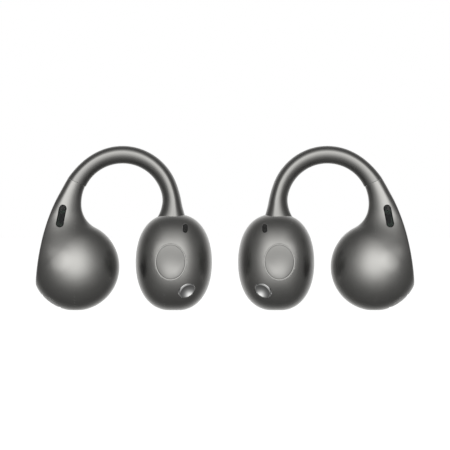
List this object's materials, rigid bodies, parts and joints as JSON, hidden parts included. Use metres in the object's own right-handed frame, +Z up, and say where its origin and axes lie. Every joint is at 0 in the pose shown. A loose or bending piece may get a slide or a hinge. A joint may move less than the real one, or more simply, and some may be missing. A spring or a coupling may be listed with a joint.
{
  "type": "clip-on open-ear earbuds",
  "caption": "Pair of wireless open-ear earbuds that clip round the ear's edge: a speaker ball and an egg-shaped battery pod joined by a springy bridge.",
  "frame": {"origin": "on the surface that the pods stand on, under the middle of the pair", "axes": "+X from the left earbud to the right one, +Z up towards the bridges, -Y the side with the buttons"},
  "size_m": [0.059, 0.0154, 0.0255],
  "materials": {
    "shell": "satin metallic graphite coating",
    "sleeve": "satin graphite silicone",
    "chrome": "polished",
    "dark_mesh": "fine dark woven mesh",
    "grille": "satin, micro-perforated",
    "black_nylon": "moulded",
    "plated_steel": "plated",
    "magnet": "nickel plated",
    "copper": "enamelled copper wire",
    "film": "thin film",
    "foam": "closed-cell foam",
    "board": "solder mask",
    "chip": "moulded package",
    "cell": "steel can",
    "flex": "polyimide film"
  },
  "bodies": {
    "left_battery_pod": {"left_battery_outer_shell": "shell", "left_battery_inner_shell": "shell", "left_charging_contact_front": "chrome", "left_charging_contact_back": "chrome", "left_port_mesh": "dark_mesh", "left_dome_switch": "plated_steel", "left_main_board": "board", "left_main_chip": "chip", "left_battery_cell": "cell", "left_case_magnet": "magnet", "left_battery_wire_anchor": "black_nylon", "left_sleeve_battery_half": "sleeve", "left_spring_wire": "plated_steel", "left_flex_cable": "flex"},
    "left_speaker_pod": {"left_speaker_outer_shell": "shell", "left_speaker_inner_shell": "shell", "left_slot_mesh": "dark_mesh", "left_outlet_grille": "grille", "left_driver_frame": "black_nylon", "left_driver_yoke": "plated_steel", "left_driver_magnet": "magnet", "left_driver_plate": "plated_steel", "left_driver_gasket": "foam", "left_voice_mic": "chip", "left_speaker_board": "board", "left_speaker_wire_anchor": "black_nylon", "left_sleeve_speaker_half": "sleeve"},
    "left_button": {"left_control_button": "shell"},
    "left_diaphragm": {"left_voice_coil": "copper", "left_diaphragm": "film"},
    "right_battery_pod": {"right_battery_outer_shell": "shell", "right_battery_inner_shell": "shell", "right_charging_contact_front": "chrome", "right_charging_contact_back": "chrome", "right_port_mesh": "dark_mesh", "right_dome_switch": "plated_steel", "right_main_board": "board", "right_main_chip": "chip", "right_battery_cell": "cell", "right_case_magnet": "magnet", "right_battery_wire_anchor": "black_nylon", "right_sleeve_battery_half": "sleeve", "right_spring_wire": "plated_steel", "right_flex_cable": "flex"},
    "right_speaker_pod": {"right_speaker_outer_shell": "shell", "right_speaker_inner_shell": "shell", "right_slot_mesh": "dark_mesh", "right_outlet_grille": "grille", "right_driver_frame": "black_nylon", "right_driver_yoke": "plated_steel", "right_driver_magnet": "magnet", "right_driver_plate": "plated_steel", "right_driver_gasket": "foam", "right_voice_mic": "chip", "right_speaker_board": "board", "right_speaker_wire_anchor": "black_nylon", "right_sleeve_speaker_half": "sleeve"},
    "right_button": {"right_control_button": "shell"},
    "right_diaphragm": {"right_voice_coil": "copper", "right_diaphragm": "film"}
  },
  "joints": [
    {"name": "right_earbud_lift", "type": "slide", "parent": "left_battery_pod", "child": "right_battery_pod", "axis": [0, 0, 1], "range_m": [0, 0.02]},
    {"name": "left_bridge_flex", "type": "hinge", "parent": "left_battery_pod", "child": "left_speaker_pod", "pos_m": [-0.01595, 0, 0.0243], "axis": [0, 1, 0], "range_deg": [-4, 22], "stiffness_Nm_per_rad": 0.02, "deforming": ["left_spring_wire", "left_flex_cable"]},
    {"name": "left_button_press", "type": "slide", "parent": "left_battery_pod", "child": "left_button", "axis": [0, 1, 0], "range_m": [0, 0.0003], "stiffness_N_per_m": 2000},
    {"name": "left_diaphragm_stroke", "type": "slide", "parent": "left_speaker_pod", "child": "left_diaphragm", "axis": [-0.5736, 0, -0.8192], "range_m": [-0.0002, 0.0002], "stiffness_N_per_m": 400},
    {"name": "right_bridge_flex", "type": "hinge", "parent": "right_battery_pod", "child": "right_speaker_pod", "pos_m": [0.01595, 0, 0.0243], "axis": [0, -1, 0], "range_deg": [-4, 22], "stiffness_Nm_per_rad": 0.02, "deforming": ["right_spring_wire", "right_flex_cable"]},
    {"name": "right_button_press", "type": "slide", "parent": "right_battery_pod", "child": "right_button", "axis": [0, 1, 0], "range_m": [0, 0.0003], "stiffness_N_per_m": 2000},
    {"name": "right_diaphragm_stroke", "type": "slide", "parent": "right_speaker_pod", "child": "right_diaphragm", "axis": [0.5736, 0, -0.8192], "range_m": [-0.0002, 0.0002], "stiffness_N_per_m": 400}
  ]
}
